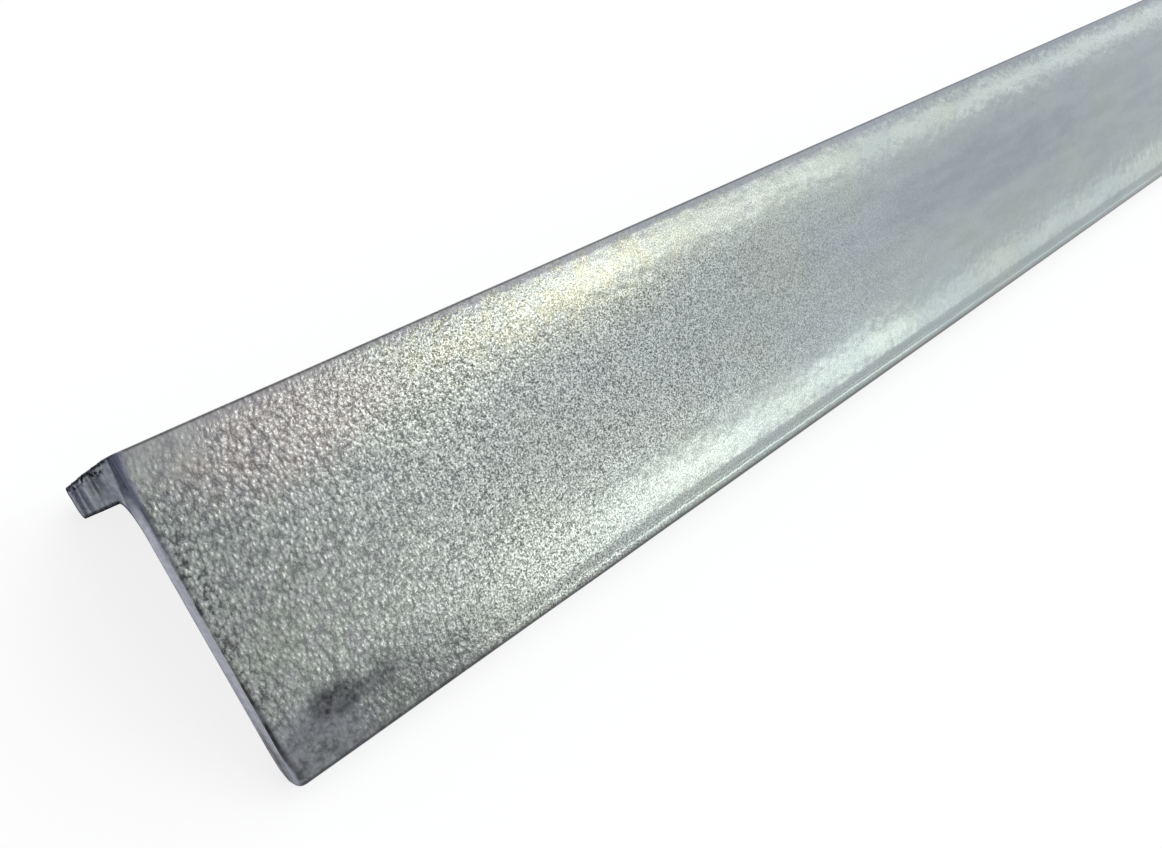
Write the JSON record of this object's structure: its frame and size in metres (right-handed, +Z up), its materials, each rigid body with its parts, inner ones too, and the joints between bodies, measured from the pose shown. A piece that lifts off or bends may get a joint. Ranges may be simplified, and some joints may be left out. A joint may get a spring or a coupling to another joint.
{
  "type": "galvanized steel angle bar",
  "caption": "Hot-rolled equal-leg steel angle bar, hot-dip galvanised, with rounded toes, a filleted root and one cropped end, for frames, brackets and edge protection.",
  "frame": {"origin": "bottom centre of the bar as it lies on its two toes with the heel up", "axes": "+X along the bar's length, away from the cropped end; -Y on the front leg's side, +Y on the back leg's side; +Z up through the heel"},
  "size_m": [1, 0.0696, 0.0381],
  "materials": {
    "galvanized_steel": "satin"
  },
  "bodies": {
    "root": {"angle_bar": "galvanized_steel"}
  },
  "joints": []
}
